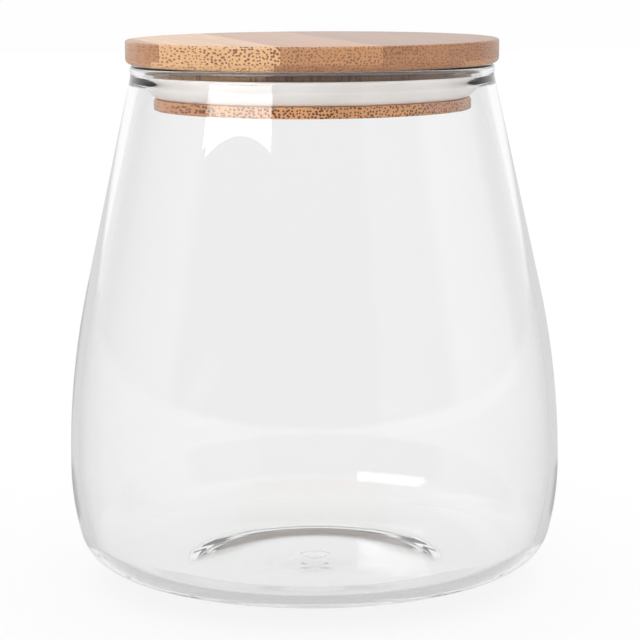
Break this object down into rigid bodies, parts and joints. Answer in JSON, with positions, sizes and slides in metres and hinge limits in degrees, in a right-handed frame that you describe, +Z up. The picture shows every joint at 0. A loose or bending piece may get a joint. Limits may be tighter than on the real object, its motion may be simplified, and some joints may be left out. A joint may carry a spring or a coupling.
{
  "type": "lidded glass canister",
  "caption": "Clear glass storage canister with a low round belly tapering to the mouth, closed by a laminated bamboo plug lid with a silicone sealing ring.",
  "frame": {"origin": "on the jar's axis, at the plane that its resting ring stands on", "axes": "+Z up along the jar's axis; the lid's bamboo strips run along +Y turned 15 degrees towards -X"},
  "size_m": [0.1326, 0.1326, 0.1449],
  "materials": {
    "clear_glass": "polished, colourless",
    "silicone": "translucent warm white, matte",
    "bamboo_pale": "oiled, pale, fine brown fibre bundles",
    "bamboo_tan": "oiled, tan, fine brown fibre bundles",
    "bamboo_brown": "oiled, brown, fine dark fibre bundles"
  },
  "bodies": {
    "jar": {"glass_jar": "clear_glass"},
    "seal": {"sealing_ring": "silicone"},
    "lid": {"lid_top_strip_1": "bamboo_tan", "lid_top_strip_2": "bamboo_pale", "lid_top_strip_3": "bamboo_tan", "lid_top_strip_4": "bamboo_brown", "lid_top_strip_5": "bamboo_brown", "lid_flange_strip_1": "bamboo_tan", "lid_flange_strip_2": "bamboo_pale", "lid_flange_strip_3": "bamboo_brown", "lid_flange_strip_4": "bamboo_brown", "lid_flange_strip_5": "bamboo_tan", "lid_core_strip_1": "bamboo_tan", "lid_core_strip_2": "bamboo_brown", "lid_core_strip_3": "bamboo_tan", "lid_core_strip_4": "bamboo_tan", "lid_plug_strip_1": "bamboo_brown", "lid_plug_strip_2": "bamboo_tan", "lid_plug_strip_3": "bamboo_tan", "lid_plug_strip_4": "bamboo_brown"}
  },
  "joints": [
    {"name": "lid_lift", "type": "slide", "parent": "jar", "child": "seal", "axis": [0, 0, 1], "range_m": [0, 0.06]},
    {"name": "lid_turn", "type": "hinge", "parent": "seal", "child": "lid", "pos_m": [0, 0, 0.1386], "axis": [0, 0, 1], "continuous": true}
  ]
}
